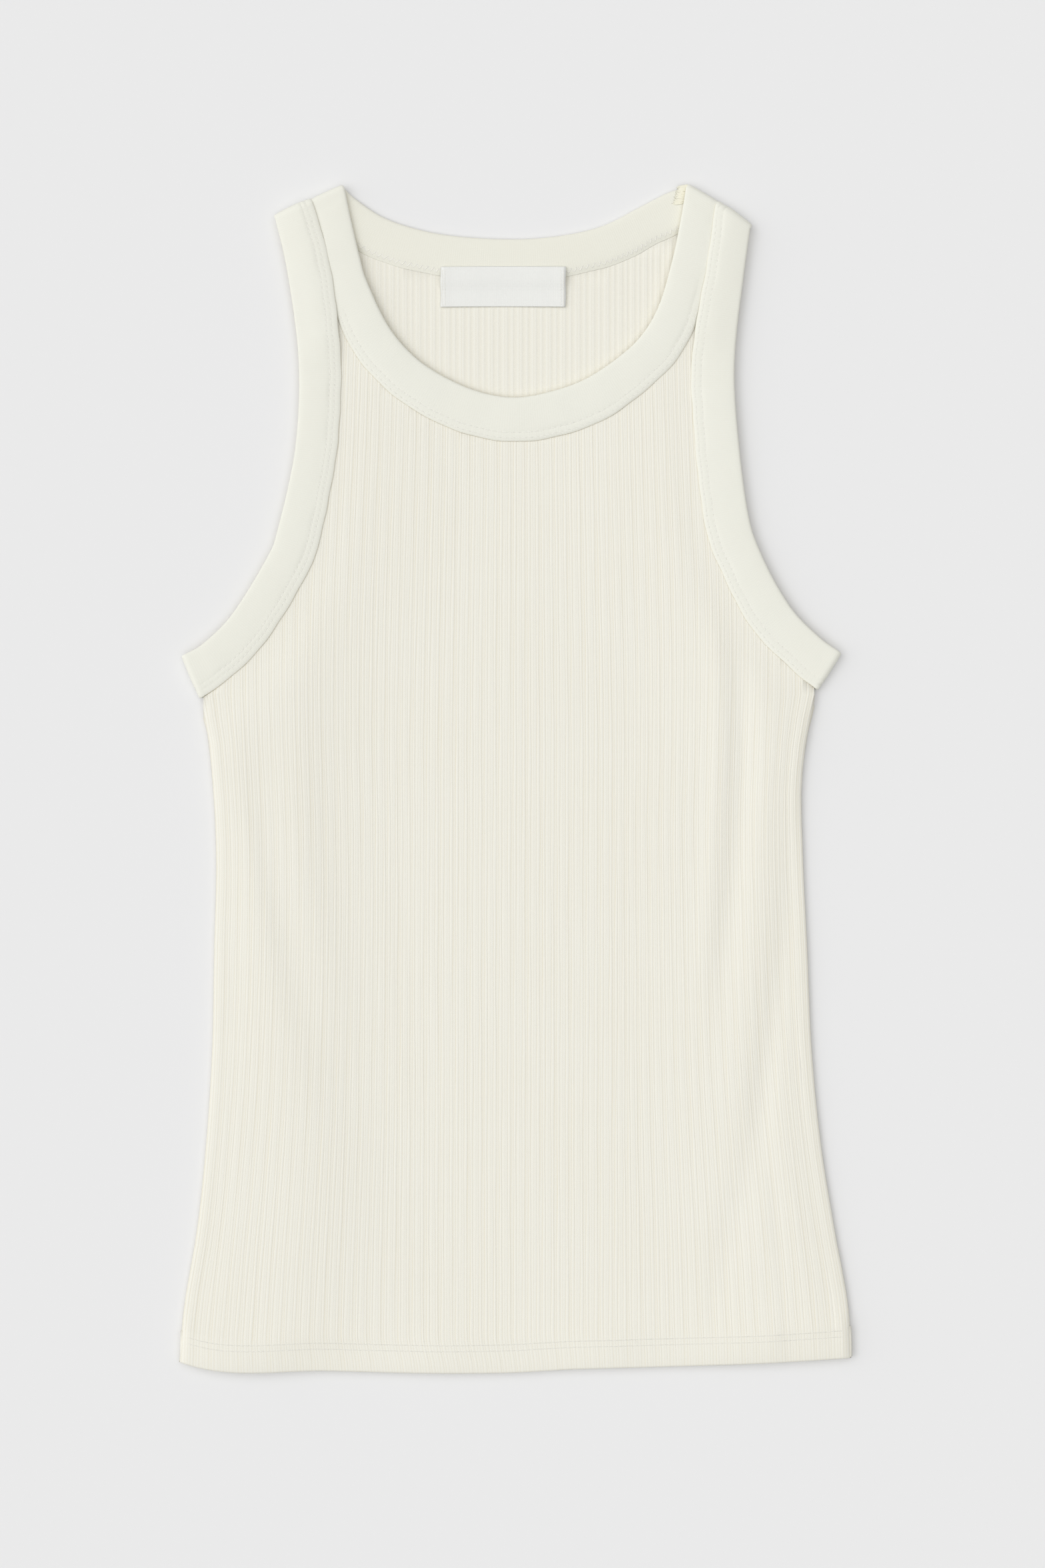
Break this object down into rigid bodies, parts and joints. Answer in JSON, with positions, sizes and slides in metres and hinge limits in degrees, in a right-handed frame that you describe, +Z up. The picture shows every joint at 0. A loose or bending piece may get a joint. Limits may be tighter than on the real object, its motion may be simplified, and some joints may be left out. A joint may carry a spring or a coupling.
{
  "type": "tank top",
  "caption": "Cream rib-knit tank top with a racer cut and wide plain knit bands, laid flat on its back.",
  "frame": {"origin": "On the surface the garment lies on, under the middle of its outline", "axes": "+X to the right of the laid-out front, +Y from the hem towards the neck, +Z up from the surface"},
  "size_m": [0.3362, 0.5946, 0.0065],
  "materials": {
    "rib_knit": "matte cream rib knit",
    "band_knit": "matte cream fine plain knit",
    "label_satin": "soft satin ribbon"
  },
  "bodies": {
    "root": {"front_panel": "rib_knit", "back_panel": "rib_knit", "neck_band": "band_knit", "armhole_band_left": "band_knit", "armhole_band_right": "band_knit", "neck_label": "label_satin"}
  },
  "joints": []
}
